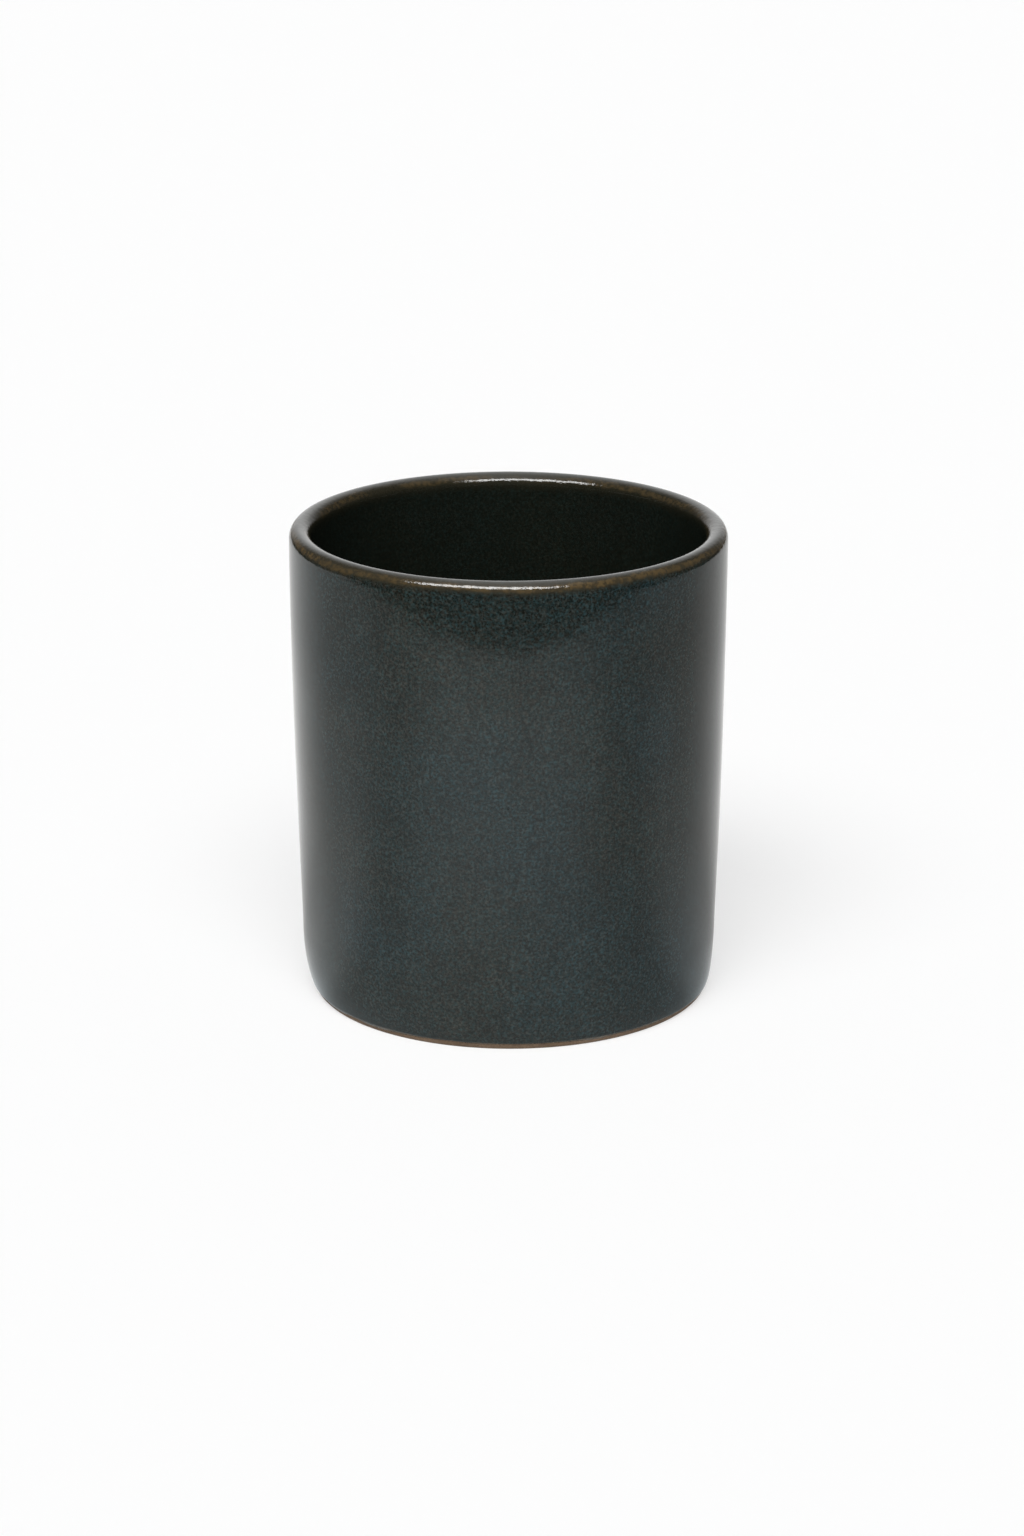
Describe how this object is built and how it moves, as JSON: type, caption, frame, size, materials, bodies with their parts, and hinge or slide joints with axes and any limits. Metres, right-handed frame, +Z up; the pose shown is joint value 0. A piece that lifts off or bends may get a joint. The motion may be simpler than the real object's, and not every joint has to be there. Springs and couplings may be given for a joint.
{
  "type": "candle jar",
  "caption": "Empty dark-glazed stoneware candle jar, a near-cylindrical tumbler with a rounded lip, a tucked-in heel and a bare clay foot ring, made to be filled with wax and a wick.",
  "frame": {"origin": "middle of the foot ring's resting face, on the jar's axis", "axes": "+Z up along the jar's axis, from the foot to the mouth; the jar is round, so +X and +Y are any two directions square to it"},
  "size_m": [0.0816, 0.0816, 0.09],
  "materials": {
    "clay": "matt, fired, unglazed",
    "glaze": "satin gloss, teal-black with fine speckle, breaking to brown on edges"
  },
  "bodies": {
    "root": {"clay_body": "clay", "glaze_coat": "glaze", "base_glaze": "glaze"}
  },
  "joints": []
}
